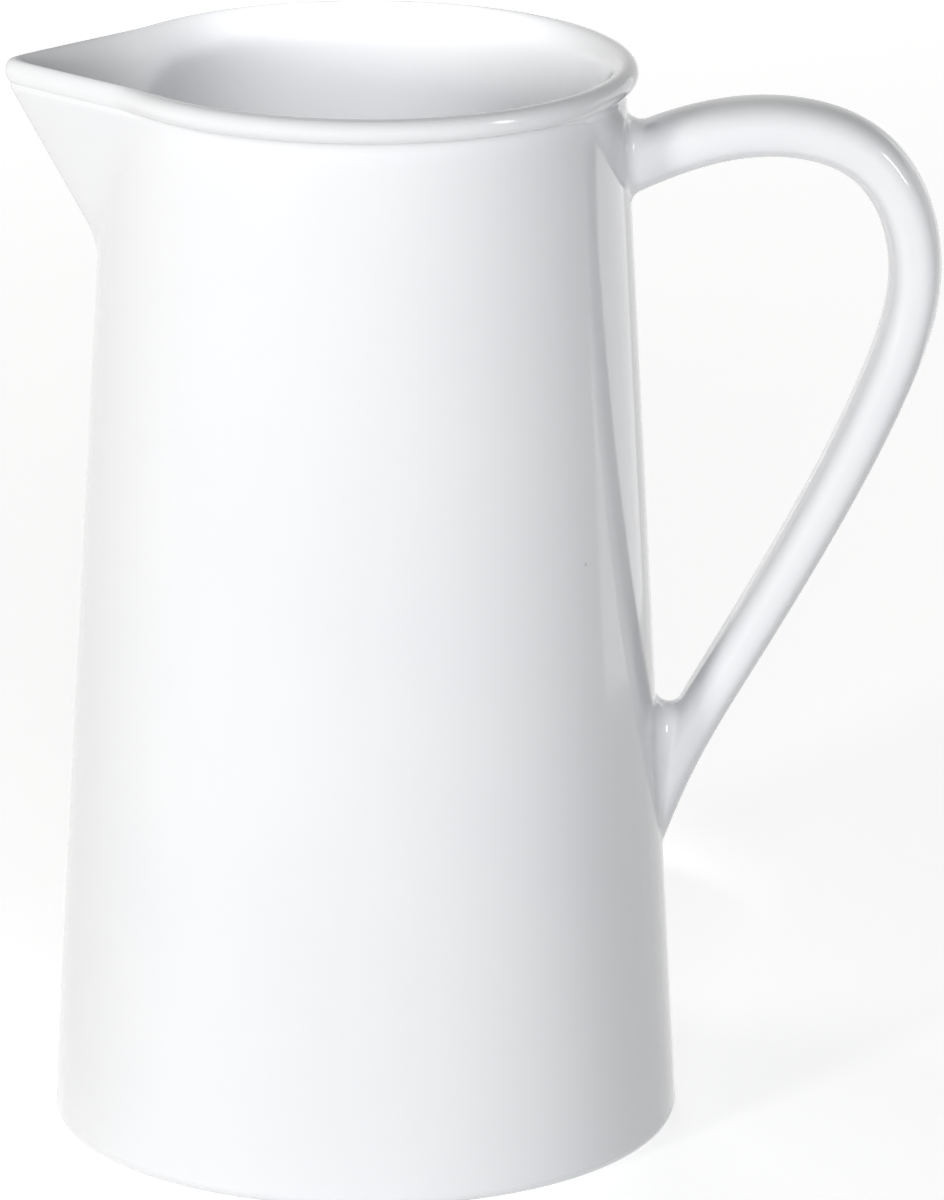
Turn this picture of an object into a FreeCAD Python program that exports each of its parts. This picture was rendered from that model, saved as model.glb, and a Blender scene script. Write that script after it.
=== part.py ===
import FreeCAD, Part
import math
import os

# A tall tapered porcelain jug: straight cone-shaped wall, rolled bead round the rim,
# a V-shaped pouring lip and an ear-shaped strap handle, cast in one piece.
# Millimetres. The jug stands on z = 0 with its round body centred on the z axis,
# the lip points along -X and the handle along +X.

# ---- body --------------------------------------------------------------------
height = 215.0              # table to the top of the rim
foot_diameter = 124.6       # body across the bottom, before the edge is rounded
top_diameter = 100.6        # plain wall across at the height of the rim
foot_edge_radius = 2.5      # rounding where the wall meets the underside
wall = 4.0                  # thickness of the wall, square to its surface
floor_thickness = 5.0       # clay under the inside floor
inner_corner_radius = 14.0  # rounding between the inside wall and the inside floor

# ---- rolled rim --------------------------------------------------------------
bead_height = 4.8           # bead, top to bottom
bead_overhang = 2.6         # how far the bead stands out from the wall
bead_cove = 1.2             # hollow rounding under the bead
flare_depth = 8.0           # height over which the inside wall opens out into the rim

# ---- pouring lip -------------------------------------------------------------
lip_reach = 70.1            # axis to the outermost point of the lip
lip_depth = 36.5            # rim down to the point where the keel leaves the body
lip_angle = 90.0            # angle between the two sides of the lip, seen from above
lip_bead_overhang = 1.5     # how far the bead rolls out at the point of the lip
tip_radius = 1.6            # rounding of the lip's point at the rim
keel_radius = 4.0           # rounding of the keel at its lower end
inner_ease = 1.0            # extra rounding along the inside of the keel
lip_blend = 1.4             # softness of the hollow between lip and body at the rim
root_blend = 2.4            # softness of that hollow where the keel leaves the body

# ---- handle ------------------------------------------------------------------
strap_thickness = 12.4      # strap measured in the plane of the loop, at the upper root
strap_low_thickness = 9.0   # the same at the lower root
strap_slimming = 0.8        # how much thinner the middle is than an even taper
strap_width = 16.1          # strap measured across the loop, at the upper root
strap_low_width = 15.0      # the same at the lower root
strap_square = 2.5          # 2 gives an oval section, more gives a squarer one
top_root_z = 193.6          # height of the upper root's end, inside the wall
top_root_depth = 3.0        # how far that end lies in from the outside of the wall
neck = (59.2, 198.0)        # centre line (x, z) just clear of the body
crown = (78.0, 201.7)       # highest point
shoulder = (98.6, 195.3)    # bend between the top and the back
back = (107.4, 174.4)       # furthest point from the axis
upper_leg = (102.3, 151.2)  # start of the long sloping leg
middle_leg = (86.6, 118.4)
lower_leg = (73.0, 94.4)
heel_z = 74.2               # height where the leg starts to turn down along the body
heel_clearance = 3.7        # centre line out from the wall at the heel
low_root_z = 51.0           # height of the lower root's end, inside the wall
low_root_depth = 6.85       # how far that end lies in from the outside of the wall
top_fillet = 3.0            # hollow rounding round the upper root
low_fillet = 2.6            # hollow rounding round the lower root

# ---- fineness ----------------------------------------------------------------
columns = 96                # points round one level of the lip zone
packing = 3.4               # how closely those points are packed near the lip
strap_points = 28           # points round one section of the strap
strap_sections = 26         # sections along the strap

join_z = height - lip_depth - 8.5       # below this level the body is perfectly round
bead_radius = bead_height / 2.0
bead_z = height - bead_radius
wall_lean = math.atan((foot_diameter - top_diameter) / 2.0 / height)
wall_across = wall / math.cos(wall_lean)
half_lip = math.radians(lip_angle / 2.0)


def cone_radius(z):
    """Outer radius of the plain wall at height z."""
    return (foot_diameter + (top_diameter - foot_diameter) * z / height) / 2.0


root_z = height - lip_depth
bead_core = cone_radius(bead_z) + bead_overhang - bead_radius   # centre line of the bead
cove_core = cone_radius(bead_z - bead_height) + bead_cove       # centre of the hollow below it
cove_span = bead_radius + bead_cove
cove_z = bead_z - math.sqrt(cove_span ** 2 - (cove_core - bead_core) ** 2)
cove_turn = math.atan2(cove_z - bead_z, cove_core - bead_core)  # where hollow meets bead
lip_core = lip_reach - lip_bead_overhang            # point of the lip at the very top
keel_rate = (lip_core + 0.5 - cone_radius(root_z)) / (cove_z - root_z)
side_lean = math.atan(keel_rate * math.sin(half_lip))
lip_wall = wall / math.cos(side_lean) / math.sin(half_lip)   # wall at the lip's apex


def keel(z):
    """Distance from the axis to the straight keel line at height z."""
    return cone_radius(root_z) + (z - root_z) * keel_rate


def grade(z, low, high):
    """Value going evenly from low at the keel's root to high at the rim."""
    share = min(1.0, max(0.0, (z - root_z) / (height - root_z)))
    return low + (high - low) * share


def soft_max(a, b, width):
    """The larger of a and b, with the corner between them rounded over width."""
    h = min(1.0, max(0.0, 0.5 + 0.5 * (b - a) / width))
    return a + (b - a) * h + width * h * (1.0 - h)


def outline(turn, radius, tip, rounding, blend):
    """Distance from the axis at the angle turn, measured from the lip: a circle of the
    given radius joined softly to a V whose rounded point lies at the distance tip."""
    flank = math.pi / 2.0 - half_lip
    side = min(turn, flank)
    slope = 1.0 / math.tan(half_lip)
    apex = tip + rounding
    a = math.cos(side) ** 2 - (math.sin(side) * slope) ** 2
    b = apex * math.cos(side)
    c = apex * apex - rounding * rounding
    vee = c / (b + math.sqrt(max(b * b - a * c, 0.0)))
    if turn > flank:
        vee *= max(0.0, math.cos(turn - flank))
    return soft_max(radius, vee, blend)


def level_wire(level):
    """Closed smooth curve round the jug at one level (z, radius, tip, rounding, blend)."""
    z, radius, tip, rounding, blend = level
    points = []
    knots = []
    for i in range(columns + 1):
        s = 2.0 * i / columns
        turn = spread(s) if s <= 1.0 else 2.0 * math.pi - spread(2.0 - s)
        r = outline(min(turn, 2.0 * math.pi - turn), radius, tip, rounding, blend)
        points.append(FreeCAD.Vector(-r * math.cos(turn), r * math.sin(turn), z))
        knots.append(turn)
    curve = Part.BSplineCurve()
    curve.interpolate(Points=points[:-1], PeriodicFlag=True, Parameters=knots)
    return Part.Wire([curve.toShape()])


def spread(s):
    """Angle from the lip for s from 0 to 1, packed closely near the lip."""
    return math.pi * (0.35 * s + 0.65 * math.sinh(packing * s) / math.sinh(packing))


def level(z, radius, tip, ease=0.0):
    """One level of the skin: height, round radius, lip point, its rounding, blend."""
    rounding = grade(z, keel_radius, tip_radius) + ease
    return (z, radius, tip, rounding, grade(z, root_blend, lip_blend))


def outer_levels():
    """Levels of the outside wall from the round body up to the hollow under the bead."""
    steps = 15
    heights = [join_z + (cove_z - join_z) * i / steps for i in range(steps + 1)]
    return [level(z, cone_radius(z), keel(z)) for z in heights[:-1]] + rim_levels()[:1]


def rim_levels():
    """Levels of the hollow, the bead, the crest and the flare inside the rim."""
    levels = []
    low_tip = keel(cove_z)
    bead_tip = lip_core + lip_bead_overhang * math.cos(cove_turn)
    for i in range(4):
        angle = math.pi + cove_turn * i / 4.0
        tip = low_tip + (bead_tip - low_tip) * i / 4.0
        z = cove_z + bead_cove * math.sin(angle)
        levels.append(level(z, cove_core + bead_cove * math.cos(angle), tip))
    for i in range(14):
        angle = cove_turn + (math.pi / 2.0 - cove_turn) * i / 14.0
        tip = lip_core + lip_bead_overhang * math.cos(angle)
        z = bead_z + bead_radius * math.sin(angle)
        levels.append(level(z, bead_core + bead_radius * math.cos(angle), tip))
    for i in range(12, -1, -1):
        angle = math.pi / 2.0 * i / 12.0
        z = height - flare_depth + flare_depth * math.sin(angle)
        levels.append(inner_level(z, 1.0 - math.cos(angle)))
    return levels


def inner_level(z, opening):
    """Level of the inside wall; opening goes from 0 on the plain wall to 1 on the crest."""
    radius = cone_radius(z) - wall_across
    tip = keel(z) - lip_wall - inner_ease
    radius += opening * (bead_core - cone_radius(height) + wall_across)
    tip += opening * (lip_core - keel(height) + lip_wall + inner_ease)
    return level(z, radius, tip, inner_ease * (1.0 - opening))


def inner_levels():
    """Levels of the inside wall from the flare down to the round body."""
    steps = 14
    top = height - flare_depth
    return [inner_level(top + (join_z - top) * i / steps, 0.0) for i in range(steps + 1)]


def rounded_corner(corner, toward_a, toward_b, radius):
    """Arc of the given radius tangent to both sides of a corner in the XZ plane."""
    a = toward_a.sub(corner).normalize()
    b = toward_b.sub(corner).normalize()
    half = a.getAngle(b) / 2.0
    reach = radius / math.tan(half)
    middle = a.add(b).normalize()
    centre = corner.add(middle.multiply(radius / math.sin(half)))
    inward = corner.sub(centre).normalize().multiply(radius)
    start = corner.add(FreeCAD.Vector(a).multiply(reach))
    end = corner.add(FreeCAD.Vector(b).multiply(reach))
    return Part.Arc(start, centre.add(inward), end).toShape()


def point(x, z):
    """Point of the XZ plane."""
    return FreeCAD.Vector(x, 0, z)


def lower_body():
    """Round lower part, turned from one closed profile."""
    edge = rounded_corner(point(cone_radius(0.0), 0.0), point(0.0, 0.0),
                          point(cone_radius(join_z), join_z), foot_edge_radius)
    inside = cone_radius(floor_thickness) - wall_across
    corner = rounded_corner(point(inside, floor_thickness), point(0.0, floor_thickness),
                            point(cone_radius(join_z) - wall_across, join_z), inner_corner_radius)
    a, b = edge.Vertexes[0].Point, edge.Vertexes[1].Point
    c, d = corner.Vertexes[0].Point, corner.Vertexes[1].Point
    outer_top = point(cone_radius(join_z), join_z)
    inner_top = point(cone_radius(join_z) - wall_across, join_z)
    foot, floor = point(0.0, 0.0), point(0.0, floor_thickness)
    sides = [Part.makeLine(foot, a), edge, Part.makeLine(b, outer_top)]
    sides += [Part.makeLine(outer_top, inner_top), Part.makeLine(inner_top, d), corner]
    sides += [Part.makeLine(c, floor), Part.makeLine(floor, foot)]
    upright = FreeCAD.Vector(0, 0, 1)
    body = Part.Face(Part.Wire(sides)).revolve(point(0.0, 0.0), upright, 360)
    body.rotate(point(0.0, 0.0), upright, 180)
    return body


def upper_body():
    """Upper part with the rolled rim and the pouring lip, closed by a flat ring below."""
    faces = []
    for levels in (outer_levels(), rim_levels(), inner_levels()):
        faces += Part.makeLoft([level_wire(one) for one in levels], False, False).Faces
    outside = Part.Face(level_wire(outer_levels()[0]))
    inside = Part.Face(level_wire(inner_levels()[-1]))
    shell = Part.makeShell(faces + outside.cut(inside).Faces)
    shell.sewShape()
    return Part.makeSolid(shell)


def strap_section(place, along, share):
    """Rounded-oblong section of the strap, square to its centre line, for a share of the
    way from the upper root to the lower one."""
    thickness = strap_thickness + (strap_low_thickness - strap_thickness) * share
    thickness -= strap_slimming * 4.0 * share * (1.0 - share)
    width = strap_width + (strap_low_width - strap_width) * share
    across = FreeCAD.Vector(0, 1, 0)
    out = along.cross(across).normalize()
    power = 2.0 / strap_square
    points = []
    for i in range(strap_points):
        angle = 2.0 * math.pi * (i + 0.5) / strap_points
        u, v = math.cos(angle), math.sin(angle)
        u = math.copysign(abs(u) ** power, u) * thickness / 2.0
        v = math.copysign(abs(v) ** power, v) * width / 2.0
        points.append(place.add(FreeCAD.Vector(out).multiply(u)).add(FreeCAD.Vector(across).multiply(v)))
    curve = Part.BSplineCurve()
    curve.interpolate(Points=points, PeriodicFlag=True)
    return Part.Wire([curve.toShape()])


def strap():
    """The handle: sections strung along its centre line, ending inside the wall."""
    top_root = (cone_radius(top_root_z) - top_root_depth, top_root_z)
    heel = (cone_radius(heel_z) + heel_clearance, heel_z)
    low_root = (cone_radius(low_root_z) - low_root_depth, low_root_z)
    loop = (neck, crown, shoulder, back, upper_leg, middle_leg, lower_leg)
    line = Part.BSplineCurve()
    line.interpolate(Points=[point(x, z) for x, z in (top_root,) + loop + (heel, low_root)])
    first, last = line.FirstParameter, line.LastParameter
    wires = []
    for i in range(strap_sections):
        share = i / (strap_sections - 1.0)
        t = first + (last - first) * share
        wires.append(strap_section(line.value(t), line.tangent(t)[0], share))
    whole_strap = Part.makeLoft(wires, True, False)
    inside = wall_across / 2.0
    core = Part.makeCone(cone_radius(0.0) - inside, cone_radius(height) - inside, height)
    return whole_strap.cut(core)


def root_edges(shape, low, high):
    """Edges where the strap meets the body between two heights."""
    found = []
    for edge in shape.Edges:
        box = edge.BoundBox
        near = all(abs(math.hypot(p.x, p.y) - cone_radius(p.z)) < 0.05 for p in edge.discretize(9))
        if near and box.ZMin > low and box.ZMax < high and box.XMin > 0 and box.YLength < 2 * strap_width:
            found.append(edge)
    return found


def jug():
    """The whole jug as one solid."""
    body = lower_body().fuse((upper_body(),), 0.001)
    shape = body.fuse(strap())
    split = (top_root_z + low_root_z) / 2.0
    shape = shape.makeFillet(low_fillet, root_edges(shape, 0.0, split))
    shape = shape.makeFillet(top_fillet, root_edges(shape, split, cove_z))
    return shape


os.makedirs("parts", exist_ok=True)
whole = jug()
whole.exportStep("parts/jug.step")
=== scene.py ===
import math
import bpy
import numpy as np
from mathutils import Matrix, Vector


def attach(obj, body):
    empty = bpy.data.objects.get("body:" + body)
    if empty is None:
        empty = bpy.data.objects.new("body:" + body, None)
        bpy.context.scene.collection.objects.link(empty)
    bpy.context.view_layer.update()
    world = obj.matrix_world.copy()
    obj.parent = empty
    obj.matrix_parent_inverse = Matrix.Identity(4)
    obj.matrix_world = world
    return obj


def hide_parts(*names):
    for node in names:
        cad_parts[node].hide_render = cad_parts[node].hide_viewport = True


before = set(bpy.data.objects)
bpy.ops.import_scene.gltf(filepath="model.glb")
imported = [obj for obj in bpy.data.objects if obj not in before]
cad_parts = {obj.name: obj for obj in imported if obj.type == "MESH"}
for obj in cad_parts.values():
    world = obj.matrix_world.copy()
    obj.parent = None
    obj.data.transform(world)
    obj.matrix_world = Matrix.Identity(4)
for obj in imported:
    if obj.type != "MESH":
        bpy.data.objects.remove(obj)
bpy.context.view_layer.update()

# A tall tapered porcelain jug with a rolled rim, a V-shaped pouring lip and a strap handle.
# The shape is worked out in millimetres, and MM turns it into metres when a mesh is made.
# Angles round the body, called turn, are measured from the lip at -X; the handle is at +X.
MM = 0.001

# ---- body --------------------------------------------------------------------
HEIGHT = 215.0           # table to the top of the rim
FOOT_RADIUS = 62.3       # body at the bottom, before the edge is rounded
TOP_RADIUS = 50.3        # plain wall at the height of the rim
FOOT_EDGE = 2.5          # rounding where the wall meets the underside
WALL = 4.0               # thickness square to the surface
FLOOR = 5.0              # height of the inside floor
INNER_CORNER = 14.0      # rounding between the inside wall and the inside floor
JOIN_Z = 170.0           # below this height the body is perfectly round
BEAD_RADIUS = 2.4        # bead's section
BEAD_OVERHANG = 2.6      # how far the bead stands out from the wall
BEAD_COVE = 1.2          # hollow rounding under the bead
FLARE = 8.0              # height over which the inside opens out into the rim

# ---- pouring lip -------------------------------------------------------------
LIP_REACH = 70.1         # axis to the outermost point
LIP_DEPTH = 36.5         # rim down to the point where the keel leaves the body
HALF_LIP = math.radians(45.0)  # half the angle between the two sides, seen from above
LIP_OVERHANG = 1.5       # how far the bead rolls out at the point
LIP_SETBACK = 0.5        # under the bead the keel reaches past its core by this much
TIP_RADIUS = 1.6         # rounding of the point at the rim
KEEL_RADIUS = 4.0        # rounding of the keel at its lower end
INNER_EASE = 1.0         # extra rounding along the inside of the keel
LIP_BLEND = 1.4          # softness of the hollow between lip and body at the rim
ROOT_BLEND = 2.4         # softness of that hollow at the keel's root
EVEN_PACKING = 0.15      # part of the columns' spacing that is even
PACKING_POWER = 1.6      # power by which the rest of it widens away from the lip
LEAST_TIP = 1.0          # the lip's point stays this far from the axis where there is no lip

# ---- handle ------------------------------------------------------------------
STRAP_THICKNESS = 12.4   # in the plane of the loop, at the upper root
STRAP_LOW_THICKNESS = 9.0  # the same at the lower root
STRAP_SLIMMING = 0.8     # how much thinner the middle is than an even taper
STRAP_WIDTH = 16.1       # across the loop, at the upper root
STRAP_LOW_WIDTH = 15.0   # the same at the lower root
STRAP_SQUARE = 2.5       # 2 gives an oval section, more gives a squarer one
# Middle places of the centre line as pairs of x and z, from the top down.
STRAP_LINE = ((59.2, 198.0), (78.0, 201.7), (98.6, 195.3), (107.4, 174.4), (102.3, 151.2),
              (86.6, 118.4), (73.0, 94.4))
TOP_ROOT_Z = 193.6       # upper end of the centre line, inside the wall
TOP_ROOT_DEPTH = 3.0     # how far that end lies in from the outside of the wall
HEEL_Z = 74.2            # height where the leg starts to turn down along the body
HEEL_CLEARANCE = 3.7     # centre line out from the wall there
LOW_ROOT_Z = 51.0        # lower end of the centre line, inside the wall
LOW_ROOT_DEPTH = 6.85    # how far that end lies in from the outside of the wall
TOP_FILLET = 3.0         # hollow rounding round the upper root
LOW_FILLET = 2.6         # hollow rounding round the lower root
TOP_ROOT_END = 0.12      # share of the way by which the strap is clear of the wall above
LOW_ROOT_START = 0.80    # share of the way from which it may meet the wall below
SMALL_STEP = 1e-4        # share of the way used to find the direction of a side line
LONG_STEP = 50           # small steps over which its length is measured
FLATTEST = 0.995         # limit of a cosine, so that no angle comes out as nothing
FILLET_REACH = (0.6, 16.0)  # shortest and longest way of a rounding along a surface
LEAST_LEAD = 0.3         # least part of a side line's direction that is taken to leave the wall
FOOT_PROUD = 0.01        # the rounding's edge stands out from the wall by this much
SKIRT_REACH = 0.8        # past its edge the surface dips into the wall over this width
SKIRT_DEPTH = 0.05       # how far it has dipped there
SUNK_DEPTH = 1.6         # depth inside the wall at which the surface closes

# ---- fineness ----------------------------------------------------------------
COLUMNS = 400            # points round one level of the body
STRAP_COLUMNS = 120      # points round one section of the strap
STRAP_ROWS = 220         # sections along the strap
FILLET_ROWS = 14         # steps across a root's rounding
UNDERSIDE_ROWS = 12      # rings on the flat underside, then round its edge
EDGE_ROWS = 10
LOW_WALL_ROWS = 26       # outside wall below JOIN_Z, then above it
HIGH_WALL_ROWS = 44
COVE_ROWS = 7            # hollow under the bead, the bead, and the flare inside it
BEAD_ROWS = 22
FLARE_ROWS = 20
HIGH_INSIDE_ROWS = 34    # inside wall above JOIN_Z, then below it
LOW_INSIDE_ROWS = 20
CORNER_ROWS = 14         # rounded corner inside, then the inside floor
BOTTOM_ROWS = 9
POLE_SHARE = 0.04        # smallest ring round a pole, as a share of the flat disc's radius
UNDERSIDE_SHARE = 0.985  # largest ring of the flat underside, on the same measure
BOTTOM_SHARE = 0.94      # and of the inside floor
HALVINGS = 40            # times that the search for the wall halves its interval


def cone_radius(z):
    """Radius of the plain wall, going evenly from the foot's to the top's with height."""
    return FOOT_RADIUS + (TOP_RADIUS - FOOT_RADIUS) * z / HEIGHT


# Worked out from the sizes above: a core is the centre of a rounding's section, by its
# distance from the axis; across means measured level instead of square to the surface.
LEAN = math.atan((FOOT_RADIUS - TOP_RADIUS) / HEIGHT)
WALL_ACROSS = WALL / math.cos(LEAN)
ROOT_Z = HEIGHT - LIP_DEPTH
BEAD_Z = HEIGHT - BEAD_RADIUS
BEAD_CORE = cone_radius(BEAD_Z) + BEAD_OVERHANG - BEAD_RADIUS
COVE_CORE = cone_radius(BEAD_Z - 2.0 * BEAD_RADIUS) + BEAD_COVE
COVE_Z = BEAD_Z - math.sqrt((BEAD_RADIUS + BEAD_COVE) ** 2 - (COVE_CORE - BEAD_CORE) ** 2)
COVE_TURN = math.atan2(COVE_Z - BEAD_Z, COVE_CORE - BEAD_CORE)
LIP_CORE = LIP_REACH - LIP_OVERHANG
KEEL_RATE = (LIP_CORE + LIP_SETBACK - cone_radius(ROOT_Z)) / (COVE_Z - ROOT_Z)
SIDE_LEAN = math.atan(KEEL_RATE * math.sin(HALF_LIP))
LIP_WALL_ACROSS = WALL / math.cos(SIDE_LEAN) / math.sin(HALF_LIP)


# ==== meshes ==================================================================
def keel(z):
    """Distance of the straight keel from the axis: the wall's at its root, then a rate."""
    return cone_radius(ROOT_Z) + (z - ROOT_Z) * KEEL_RATE


def row(radius, z, tip, ease=0.0):
    """One set of profile rows: round radius, height, distance of the lip's point, and the
    extra rounding of that point, each an array of one length."""
    return np.stack(np.broadcast_arrays(radius, z, tip, ease), axis=-1).astype(float)


def inner_row(z, opening):
    """Rows of the inside wall: the outside moved in by the wall's thickness, and moved out
    again by opening, from 0 on the plain wall to 1 on the crest of the rim."""
    radius = cone_radius(z) - WALL_ACROSS
    radius = radius + opening * (BEAD_CORE - cone_radius(HEIGHT) + WALL_ACROSS)
    tip = keel(z) - LIP_WALL_ACROSS - INNER_EASE
    tip = tip + opening * (LIP_CORE - keel(HEIGHT) + LIP_WALL_ACROSS + INNER_EASE)
    return row(radius, z, tip, INNER_EASE * (1.0 - opening))


def run(start, stop, count):
    """Values going evenly from start to stop, without the first."""
    return np.linspace(start, stop, count + 1)[1:]


def foot_rows():
    """Flat underside from near the middle, then the arc that rounds the foot's edge."""
    spread = (math.pi / 2.0 + LEAN) / 2.0
    core = FOOT_RADIUS - FOOT_EDGE * math.tan(spread)
    angle = np.linspace(0.0, 2.0 * spread, EDGE_ROWS)
    flat = row(core * np.linspace(POLE_SHARE, UNDERSIDE_SHARE, UNDERSIDE_ROWS), 0.0, 0.0)
    edge = row(core + FOOT_EDGE * np.sin(angle), FOOT_EDGE * (1.0 - np.cos(angle)), 0.0)
    return np.concatenate([flat, edge])


def wall_rows(low):
    """Outside wall: the straight cone from the foot's edge to the hollow under the bead."""
    z = np.concatenate([run(low, JOIN_Z, LOW_WALL_ROWS), run(JOIN_Z, COVE_Z, HIGH_WALL_ROWS)])
    return row(cone_radius(z), z, keel(z))


def rim_rows():
    """Rim: the hollow is an arc turning in, the bead an arc turning over to the crest, and
    the flare inside is a quarter of an ellipse going down to the inside wall."""
    share = run(0.0, 1.0, COVE_ROWS)
    angle = math.pi + COVE_TURN * share
    tip = keel(COVE_Z) + (LIP_CORE + LIP_OVERHANG * math.cos(COVE_TURN) - keel(COVE_Z)) * share
    cove = row(COVE_CORE + BEAD_COVE * np.cos(angle), COVE_Z + BEAD_COVE * np.sin(angle), tip)
    angle = run(COVE_TURN, math.pi / 2.0, BEAD_ROWS)
    bead = row(BEAD_CORE + BEAD_RADIUS * np.cos(angle), BEAD_Z + BEAD_RADIUS * np.sin(angle),
               LIP_CORE + LIP_OVERHANG * np.cos(angle))
    angle = math.pi / 2.0 - run(0.0, math.pi / 2.0, FLARE_ROWS)
    flare = inner_row(HEIGHT - FLARE + FLARE * np.sin(angle), 1.0 - np.cos(angle))
    return np.concatenate([cove, bead, flare])


def inside_rows():
    """Inside: the straight wall down, the rounded corner as an arc, and the flat floor."""
    spread = (math.pi / 2.0 - LEAN) / 2.0
    reach = INNER_CORNER * math.tan(spread)
    core = cone_radius(FLOOR) - WALL_ACROSS - reach
    corner_top = FLOOR + INNER_CORNER * (1.0 + math.sin(LEAN))
    z = np.concatenate([run(HEIGHT - FLARE, JOIN_Z, HIGH_INSIDE_ROWS),
                        run(JOIN_Z, corner_top, LOW_INSIDE_ROWS)])
    angle = 2.0 * spread * (1.0 - run(0.0, 1.0, CORNER_ROWS))
    corner = row(core + INNER_CORNER * np.sin(angle),
                 FLOOR + INNER_CORNER * (1.0 - np.cos(angle)), 0.0)
    flat = row(core * np.linspace(BOTTOM_SHARE, POLE_SHARE, BOTTOM_ROWS), FLOOR, 0.0)
    return np.concatenate([inner_row(z, 0.0), corner, flat])


def outline(turn, radius, tip, rounding, blend):
    """Distance from the axis at an angle from the lip: the larger of a circle's radius and a
    V, with the corner between them smoothed by a parabola over the width blend. The V is one
    branch of a hyperbola, whose point lies at tip and bends there to the radius rounding."""
    flank = math.pi / 2.0 - HALF_LIP
    side = np.minimum(turn, flank)
    apex = tip + rounding
    a = np.cos(side) ** 2 - (np.sin(side) / math.tan(HALF_LIP)) ** 2
    b = apex * np.cos(side)
    c = apex ** 2 - rounding ** 2
    vee = c / (b + np.sqrt(np.maximum(b * b - a * c, 0.0)))
    vee = vee * np.where(turn > flank, np.maximum(np.cos(turn - flank), 0.0), 1.0)
    h = np.clip(0.5 + 0.5 * (vee - radius) / blend, 0.0, 1.0)
    return radius + (vee - radius) * h + blend * h * (1.0 - h)


def body_grid():
    """Points of the body as rows times columns. Each row is a level outline (circle with a
    V at the lip); columns are packed near the lip by a power of their share of the way."""
    foot = foot_rows()
    rows = np.concatenate([foot, wall_rows(foot[-1, 1]), rim_rows(), inside_rows()])
    share = np.abs(2.0 * np.arange(COLUMNS) / COLUMNS)
    half = np.where(share <= 1.0, share, 2.0 - share)
    packed = half ** PACKING_POWER
    turn = math.pi * (EVEN_PACKING * half + (1.0 - EVEN_PACKING) * packed)
    radius, z, tip, ease = (rows[:, i, None] for i in range(4))
    rise = np.clip((z - ROOT_Z) / (HEIGHT - ROOT_Z), 0.0, 1.0)
    rounding = KEEL_RADIUS + (TIP_RADIUS - KEEL_RADIUS) * rise + ease
    blend = ROOT_BLEND + (LIP_BLEND - ROOT_BLEND) * rise
    lip = outline(turn[None, :], radius, np.maximum(tip, LEAST_TIP), rounding, blend)
    reach = np.where(z < JOIN_Z, radius, lip)
    side = np.where(share <= 1.0, 1.0, -1.0)
    return np.stack([-reach * np.cos(turn), -side * reach * np.sin(turn),
                     np.broadcast_to(z, reach.shape)], axis=-1)


def grid_faces(rows, columns):
    """Four-sided faces of a grid whose columns close into a ring; column order gives the
    outward side."""
    r = np.arange(rows - 1)[:, None] * columns
    c = np.arange(columns)[None, :]
    d = (c + 1) % columns
    return np.stack([r + c, r + d, r + d + columns, r + c + columns], axis=-1).reshape(-1, 4)


def closed_mesh(name, grid, start, end):
    """Mesh of a grid of rings closed at both ends by a fan of triangles round a pole, with
    an outward side, all faces smooth."""
    rows, columns, _ = grid.shape
    points = np.concatenate([grid.reshape(-1, 3), [start, end]]) * MM
    quads = grid_faces(rows, columns)
    ring = np.arange(columns)
    after = (ring + 1) % columns
    pole = rows * columns
    last = (rows - 1) * columns
    first_fan = np.stack([np.full(columns, pole), after, ring], axis=-1)
    last_fan = np.stack([np.full(columns, pole + 1), last + ring, last + after], axis=-1)
    faces = quads.tolist() + first_fan.tolist() + last_fan.tolist()
    mesh = bpy.data.meshes.new(name)
    mesh.from_pydata(points, [], faces)
    mesh.shade_smooth()
    mesh.update()
    piece = bpy.data.objects.new(name, mesh)
    bpy.context.scene.collection.objects.link(piece)
    return piece


def spline(points, t):
    """Smooth curve through the points at the shares t of its way: cubic pieces over the
    chord lengths, with equal slope and bend where they meet and no bend at the ends.
    Returns places and directions."""
    knots = np.concatenate([[0.0], np.cumsum(np.linalg.norm(np.diff(points, axis=0), axis=1))])
    gap = np.diff(knots)
    count = len(points)
    system = np.eye(count)
    inner = np.arange(1, count - 1)
    system[inner, inner - 1] = gap[:-1]
    system[inner, inner] = 2.0 * (gap[:-1] + gap[1:])
    system[inner, inner + 1] = gap[1:]
    slopes = np.diff(points, axis=0) / gap[:, None]
    right = np.zeros_like(points)
    right[1:-1] = 6.0 * np.diff(slopes, axis=0)
    bend = np.linalg.solve(system, right)
    x = t * knots[-1]
    i = np.clip(np.searchsorted(knots, x, side="right") - 1, 0, count - 2)
    h = gap[i][..., None]
    u = (x - knots[i])[..., None]
    lead = slopes[i] - h * (2.0 * bend[i] + bend[i + 1]) / 6.0
    place = points[i] + u * (lead + u * (bend[i] / 2.0 + u * (bend[i + 1] - bend[i]) / (6.0 * h)))
    way = lead + u * (bend[i] + u * (bend[i + 1] - bend[i]) / (2.0 * h))
    return place, way / np.linalg.norm(way, axis=-1, keepdims=True)


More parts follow.
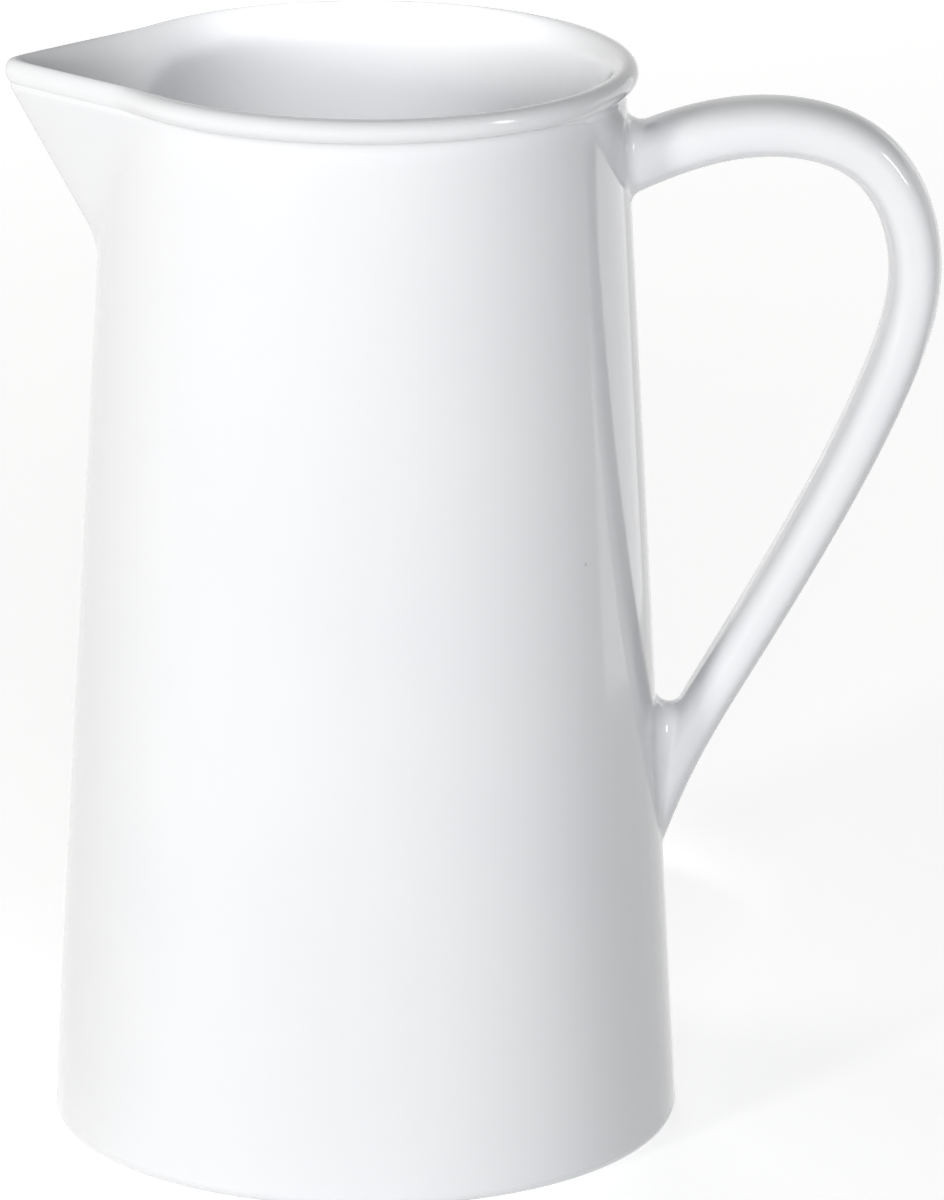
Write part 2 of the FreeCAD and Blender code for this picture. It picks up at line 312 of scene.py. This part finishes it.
def strap_points(t, angle):
    """Points of the strap's skin: the centre line at t, plus a rounded oblong (a circle's
    cosine and sine each raised to the power 2 / STRAP_SQUARE) square to that line. The
    oblong tapers evenly in width, and in thickness with a parabola taken off the middle."""
    ends = [(cone_radius(TOP_ROOT_Z) - TOP_ROOT_DEPTH, TOP_ROOT_Z)]
    tail = [(cone_radius(HEEL_Z) + HEEL_CLEARANCE, HEEL_Z),
            (cone_radius(LOW_ROOT_Z) - LOW_ROOT_DEPTH, LOW_ROOT_Z)]
    line = np.array(ends + list(STRAP_LINE) + tail)
    place, way = spline(line, t)
    power = 2.0 / STRAP_SQUARE
    thickness = STRAP_THICKNESS + (STRAP_LOW_THICKNESS - STRAP_THICKNESS) * t
    thickness = thickness - STRAP_SLIMMING * 4.0 * t * (1.0 - t)
    width = STRAP_WIDTH + (STRAP_LOW_WIDTH - STRAP_WIDTH) * t
    u = np.sign(np.cos(angle)) * np.abs(np.cos(angle)) ** power * thickness / 2.0
    v = np.sign(np.sin(angle)) * np.abs(np.sin(angle)) ** power * width / 2.0
    x = place[..., 0] - way[..., 1] * u
    z = place[..., 1] + way[..., 0] * u
    return np.stack([x, np.broadcast_to(v, x.shape), z], axis=-1)


def wall_distance(points):
    """Distance of points from the outside of the plain wall, positive outside."""
    off_axis = np.hypot(points[..., 0], points[..., 1])
    return (off_axis - cone_radius(points[..., 2])) * math.cos(LEAN)


def wall_normal(points):
    """Outward direction of the plain wall beside the points."""
    off_axis = np.hypot(points[..., 0], points[..., 1])
    return np.stack([points[..., 0] / off_axis * math.cos(LEAN),
                     points[..., 1] / off_axis * math.cos(LEAN),
                     np.full(off_axis.shape, math.sin(LEAN))], axis=-1)


def unit(v):
    """Each arrow divided by its length, which leaves its direction."""
    return v / np.linalg.norm(v, axis=-1, keepdims=True)


def crossing(angle, start, stop):
    """Share of the strap's way at which each of its side lines passes through the wall,
    found by halving the interval between a share inside the wall and one outside it."""
    inside = np.full(angle.shape, start)
    outside = np.full(angle.shape, stop)
    for _ in range(HALVINGS):
        middle = (inside + outside) / 2.0
        out = wall_distance(strap_points(middle, angle)) > 0.0
        outside = np.where(out, middle, outside)
        inside = np.where(out, inside, middle)
    return (inside + outside) / 2.0


def root(angle, start, stop, fillet):
    """Hollow rounding between strap and wall. Each side line of the strap meets the wall at
    a point; from there the rounding reaches along both surfaces by the fillet's radius over
    the tangent of half the angle between them, averaged with the two lines beside it, and
    the curve between is a circle's arc, written as a weighted curve on three points."""
    t = crossing(angle, start, stop)
    step = math.copysign(SMALL_STEP, stop - start)
    corner = strap_points(t, angle)
    along = unit(strap_points(t + step, angle) - corner)
    normal = wall_normal(corner)
    edge = unit(np.roll(corner, -1, axis=0) - np.roll(corner, 1, axis=0))
    away = unit(np.cross(edge, normal))
    middle = corner.mean(axis=0)
    away = away * np.sign(np.sum(away * (corner - middle), axis=-1, keepdims=True))
    across = unit(along - np.sum(along * edge, axis=-1, keepdims=True) * edge)
    half = np.arccos(np.clip(np.sum(across * away, axis=-1), -FLATTEST, FLATTEST)) / 2.0
    reach = np.clip(fillet / np.tan(half), *FILLET_REACH)
    reach = (reach + np.roll(reach, 1) + np.roll(reach, -1)) / 3.0
    ahead = strap_points(t + LONG_STEP * step, angle) - corner
    length = np.linalg.norm(ahead, axis=-1) / abs(LONG_STEP * step)
    lead = np.maximum(np.sum(along * across, axis=-1), LEAST_LEAD)
    t_end = t + math.copysign(1.0, step) * reach / lead / length
    top = strap_points(t_end, angle)
    foot = corner + away * reach[:, None]
    foot = foot - wall_normal(foot) * (wall_distance(foot)[:, None] - FOOT_PROUD)
    weight = np.sin(half)[:, None]
    s = np.linspace(0.0, 1.0, FILLET_ROWS)[:, None, None]
    a, b, c = (1.0 - s) ** 2, 2.0 * s * (1.0 - s) * weight[None], s ** 2
    curve = (a * foot[None] + b * corner[None] + c * top[None]) / (a + b + c)
    skirt = foot + away * SKIRT_REACH
    skirt = skirt - wall_normal(skirt) * (wall_distance(skirt)[:, None] + SKIRT_DEPTH)
    sunk = foot - normal * SUNK_DEPTH
    return np.concatenate([sunk[None], skirt[None], curve]), t_end


def strap_grid():
    """Points of the handle: the upper root's rounding, the strap between the two roots with
    each side line cut to its own length, and the lower root's rounding."""
    angle = 2.0 * math.pi * (np.arange(STRAP_COLUMNS) + 0.5) / STRAP_COLUMNS
    upper, first = root(angle, 0.0, TOP_ROOT_END, TOP_FILLET)
    lower, last = root(angle, 1.0, LOW_ROOT_START, LOW_FILLET)
    share = run(0.0, 1.0, STRAP_ROWS)[:-1, None]
    t = first[None] + (last - first)[None] * share
    middle = strap_points(t, np.broadcast_to(angle[None], t.shape))
    return np.concatenate([upper, middle, lower[::-1]])


# ==== finishes ================================================================
def link(tree, source, target):
    """Joins one node's outlet to another's inlet."""
    tree.links.new(source, target)


def node(tree, kind, **settings):
    """New node with its named settings in place."""
    made = tree.nodes.new(kind)
    for key, value in settings.items():
        setattr(made, key, value)
    return made


def combine(tree, operation, first, second):
    """One value made from two, such as their product. The second may be a plain number."""
    made = node(tree, "ShaderNodeMath", operation=operation)
    link(tree, first, made.inputs[0])
    if isinstance(second, float):
        made.inputs[1].default_value = second
    else:
        link(tree, second, made.inputs[1])
    return made.outputs[0]


def noise(tree, coords, scale, detail):
    """Cloudy pattern from 0 to 1, with scale clouds to the metre."""
    made = node(tree, "ShaderNodeTexNoise")
    made.inputs["Scale"].default_value = scale
    made.inputs["Detail"].default_value = detail
    link(tree, coords, made.inputs["Vector"])
    return made.outputs["Fac"]


def ramp(tree, value, low, high, start, stop):
    """Value between low and high stretched evenly to start and stop."""
    made = node(tree, "ShaderNodeMapRange")
    ends = {"From Min": low, "From Max": high, "To Min": start, "To Max": stop}
    for key, number in ends.items():
        made.inputs[key].default_value = number
    link(tree, value, made.inputs["Value"])
    return made.outputs["Result"]


def bump(tree, height, depth, normal=None):
    """Shallow relief, which lies on top of another where normal is given."""
    made = node(tree, "ShaderNodeBump")
    made.inputs["Strength"].default_value = RELIEF_STRENGTH
    made.inputs["Distance"].default_value = depth
    link(tree, height, made.inputs["Height"])
    if normal is not None:
        link(tree, normal, made.inputs["Normal"])
    return made.outputs["Normal"]


# Each pattern is given by its clouds to the metre and its detail, each relief by its depth
# in metres. A span is the part of a pattern that is stretched over its whole effect.
# The tints are the two ends of the clouding.
TINTS = ((0.896, 0.904, 0.924, 1.0), (0.912, 0.918, 0.934, 1.0))
TINT_CLOUDS = (22.0, 3.0)
TINT_SPAN = (0.35, 0.65)
SPECK_COLOUR = (0.33, 0.28, 0.24, 1.0)
SPECK_STRENGTH = 0.55
SPECK_CELLS = 70.0       # cells to the metre, each of which may hold one speck
SPECK_CHOICE = (0.965, 0.97)  # a cell holds one when its own random value is above this
SPECK_EDGE = (0.012, 0.035)  # where a speck starts to fade and ends, as shares of a cell
GLAZE_ROUGHNESS = (0.07, 0.13)
GLAZE_CLOUDS = (60.0, 4.0)
GLAZE_SPAN = (0.3, 0.7)
GLAZE_IOR = 1.5
COAT_WEIGHT = 0.5
COAT_ROUGHNESS = 0.04
RELIEF_STRENGTH = 0.12
WAVE_CLOUDS = (28.0, 1.0)
WAVE_DEPTH = 0.0012
SKIN_CLOUDS = (420.0, 2.0)
SKIN_DEPTH = 0.00006


def porcelain():
    """White glazed porcelain: cool white body, faint clouding, fine specks, smooth glaze
    with a slow waviness and a very fine skin."""
    finish = bpy.data.materials.new("white_porcelain_glaze")
    finish.use_nodes = True
    tree = finish.node_tree
    shader = tree.nodes["Principled BSDF"]
    coords = node(tree, "ShaderNodeTexCoord").outputs["Object"]
    cloud = noise(tree, coords, *TINT_CLOUDS)
    tint = node(tree, "ShaderNodeMix", data_type="RGBA")
    tint.inputs["A"].default_value, tint.inputs["B"].default_value = TINTS
    link(tree, ramp(tree, cloud, *TINT_SPAN, 0.0, 1.0), tint.inputs[0])
    cells = node(tree, "ShaderNodeTexVoronoi")
    cells.inputs["Scale"].default_value = SPECK_CELLS
    link(tree, coords, cells.inputs["Vector"])
    chosen = node(tree, "ShaderNodeSeparateColor")
    link(tree, cells.outputs["Color"], chosen.inputs[0])
    rare = ramp(tree, chosen.outputs[0], *SPECK_CHOICE, 0.0, 1.0)
    dot = ramp(tree, cells.outputs["Distance"], *SPECK_EDGE, 1.0, 0.0)
    speck = combine(tree, "MULTIPLY", rare, dot)
    specked = node(tree, "ShaderNodeMix", data_type="RGBA")
    specked.inputs["B"].default_value = SPECK_COLOUR
    link(tree, combine(tree, "MULTIPLY", speck, SPECK_STRENGTH), specked.inputs[0])
    link(tree, tint.outputs["Result"], specked.inputs["A"])
    link(tree, specked.outputs["Result"], shader.inputs["Base Color"])
    haze = noise(tree, coords, *GLAZE_CLOUDS)
    haze = ramp(tree, haze, *GLAZE_SPAN, *GLAZE_ROUGHNESS)
    link(tree, haze, shader.inputs["Roughness"])
    shader.inputs["IOR"].default_value = GLAZE_IOR
    shader.inputs["Coat Weight"].default_value = COAT_WEIGHT
    shader.inputs["Coat Roughness"].default_value = COAT_ROUGHNESS
    shader.inputs["Coat IOR"].default_value = GLAZE_IOR
    slow = bump(tree, noise(tree, coords, *WAVE_CLOUDS), WAVE_DEPTH)
    fine = bump(tree, noise(tree, coords, *SKIN_CLOUDS), SKIN_DEPTH, slow)
    link(tree, fine, shader.inputs["Normal"])
    link(tree, slow, shader.inputs["Coat Normal"])
    return finish


# ==== the jug =================================================================
grid = body_grid()
body = closed_mesh("jug_body", grid, (0.0, 0.0, 0.0), (0.0, 0.0, FLOOR))
# The strap's columns are taken backwards, so that its faces point outwards.
grid = strap_grid()
handle = closed_mesh("jug_handle", grid[:, ::-1], grid[0].mean(axis=0), grid[-1].mean(axis=0))
glaze = porcelain()
for piece in (body, handle):
    piece.data.materials.append(glaze)
    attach(piece, "root")
    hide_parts("jug")


# ==== stage ===================================================================
# Sizes and places of the stage are in metres. A level of light is a share of white.
WHITE = (1.0, 1.0, 1.0)
WARM = (1.0, 0.985, 0.955)
COOL = (0.972, 0.983, 1.0)
PAPER = (0.75, 0.75, 0.75, 1.0)
PAPER_ROUGHNESS = 0.9
PAPER_SHEEN = 0.1
PAPER_GLOW = 0.68        # level that the floor adds of its own where it is seen
FLOOR_HALF = 2.0         # middle of the floor to each side
ROOM_LIGHT = 0.06        # level of the light that comes from all round
JUG_MIDDLE = (0.0, 0.0, 0.11)
MOUTH_AIM = (-0.003, 0.027, 0.205)  # inside the mouth, towards the back wall
BEAM_SOURCE = 0.02       # radius of the lamp that throws a beam
CAMERA_PLACE = (0.0, -1.7976, 0.6359)
CAMERA_TURN = (0.287, 0.0117, 0.0041)  # pitch, yaw and roll in radians
CAMERA_LENS = 284.6      # millimetres
CAMERA_FAR = 50.0        # nothing past this distance is seen


def background_share(tree):
    """1 for rays from the camera and for reflected or refracted rays, 0 for the rest."""
    path = node(tree, "ShaderNodeLightPath")
    total = path.outputs["Is Camera Ray"]
    for name in ("Is Glossy Ray", "Is Transmission Ray"):
        total = combine(tree, "MAXIMUM", total, path.outputs[name])
    return total


def floor_finish():
    """Matt white paper; seen directly it gets a little light of its own, so that it comes
    out white and still shows the jug's shadow."""
    finish = bpy.data.materials.new("white_paper_floor")
    finish.use_nodes = True
    tree = finish.node_tree
    shader = tree.nodes["Principled BSDF"]
    shader.inputs["Base Color"].default_value = PAPER
    shader.inputs["Roughness"].default_value = PAPER_ROUGHNESS
    shader.inputs["Specular IOR Level"].default_value = PAPER_SHEEN
    shader.inputs["Emission Color"].default_value = (*WHITE, 1.0)
    glow = combine(tree, "MULTIPLY", background_share(tree), PAPER_GLOW)
    link(tree, glow, shader.inputs["Emission Strength"])
    return finish


def floor_piece():
    """Flat square floor at the height the jug stands on."""
    half = FLOOR_HALF
    corners = [(-half, -half, 0.0), (half, -half, 0.0), (half, half, 0.0), (-half, half, 0.0)]
    mesh = bpy.data.meshes.new("floor")
    mesh.from_pydata(corners, [], [(0, 1, 2, 3)])
    piece = bpy.data.objects.new("floor", mesh)
    bpy.context.scene.collection.objects.link(piece)
    mesh.materials.append(floor_finish())


def lamp_piece(name, kind, azimuth, rise, away, aim):
    """Lamp that faces the point aim. azimuth goes from straight in front (-Y) towards the
    handle, rise up from level, both in degrees."""
    around, up = math.radians(azimuth), math.radians(rise)
    flat = math.cos(up)
    way = Vector((math.sin(around) * flat, -math.cos(around) * flat, math.sin(up)))
    piece = bpy.data.objects.new(name, bpy.data.lights.new(name, kind))
    piece.rotation_euler = way.to_track_quat("Z", "Y").to_euler()
    piece.location = Vector(aim) + way * away
    bpy.context.scene.collection.objects.link(piece)
    return piece


def flat_lamp(name, azimuth, rise, away, size):
    """Oblong lamp, size wide and high, that faces the middle of the jug."""
    piece = lamp_piece(name, "AREA", azimuth, rise, away, JUG_MIDDLE)
    piece.data.shape = "RECTANGLE"
    piece.data.size, piece.data.size_y = size
    return piece


def soft_box(name, azimuth, rise, away, size, level, colour=WHITE):
    """Lamp that lights without showing in the glaze. level is how bright it alone makes a
    white surface that faces it, with 1 for white."""
    piece = flat_lamp(name, azimuth, rise, away, size)
    piece.data.energy = level * (math.pi * away) ** 2
    piece.data.color = colour
    piece.visible_glossy = False


def gleam(name, azimuth, rise, away, size, level):
    """Lamp that only shows in the glaze, level times as bright as white."""
    piece = flat_lamp(name, azimuth, rise, away, size)
    piece.data.energy = level * math.pi * size[0] * size[1]
    piece.visible_diffuse = False


def beam(name, azimuth, rise, away, aim, spread, level):
    """Soft-edged round beam, spread degrees wide, that doesn't show in the glaze. level is
    the same as for a soft box."""
    piece = lamp_piece(name, "SPOT", azimuth, rise, away, aim)
    piece.data.energy = 4.0 * level * (math.pi * away) ** 2
    piece.data.spot_size = math.radians(spread)
    piece.data.spot_blend = 1.0
    piece.data.shadow_soft_size = BEAM_SOURCE
    piece.visible_glossy = False


def room():
    """Even white surroundings, which give far less light than they show."""
    world = bpy.data.worlds.new("studio")
    world.use_nodes = True
    bpy.context.scene.world = world
    tree = world.node_tree
    seen = tree.nodes["Background"]
    seen.inputs["Color"].default_value = (*WHITE, 1.0)
    level = ramp(tree, background_share(tree), 0.0, 1.0, ROOM_LIGHT, 1.0)
    link(tree, level, seen.inputs["Strength"])


def camera():
    """Long lens a little above the rim, looking down by pitch, with a slight yaw and roll."""
    pitch, yaw, roll = CAMERA_TURN
    flat = math.cos(pitch)
    ahead = Vector((math.sin(yaw) * flat, math.cos(yaw) * flat, -math.sin(pitch)))
    right = Vector((math.cos(yaw), -math.sin(yaw), 0.0))
    up = right.cross(ahead)
    c, s = math.cos(roll), math.sin(roll)
    right, up = c * right + s * up, c * up - s * right
    turn = Matrix((right, up, -ahead)).transposed()
    data = bpy.data.cameras.new("camera")
    data.lens = CAMERA_LENS
    data.clip_end = CAMERA_FAR
    piece = bpy.data.objects.new("camera", data)
    piece.matrix_world = Matrix.Translation(CAMERA_PLACE) @ turn.to_4x4()
    bpy.context.scene.collection.objects.link(piece)
    bpy.context.scene.camera = piece


floor_piece()
soft_box("side_lamp", -100.0, 12.0, 2.2, (1.1, 1.1), 0.33, WARM)
soft_box("key_lamp", -38.0, 10.0, 2.4, (0.25, 0.25), 0.30, WARM)
soft_box("front_lamp", 4.0, 10.0, 2.6, (1.2, 1.2), 0.585, COOL)
soft_box("back_lamp", -172.0, 8.0, 2.4, (1.0, 1.0), 0.40)
beam("mouth_lamp", -8.0, 62.0, 0.6, MOUTH_AIM, 9.5, 1.2)
gleam("window_gleam", 61.0, 24.0, 2.2, (0.25, 0.7), 9.0)
gleam("backdrop_gleam", 124.0, 5.0, 0.4, (0.3, 0.3), 0.5)
room()
camera()
bpy.context.scene.view_settings.view_transform = "Standard"
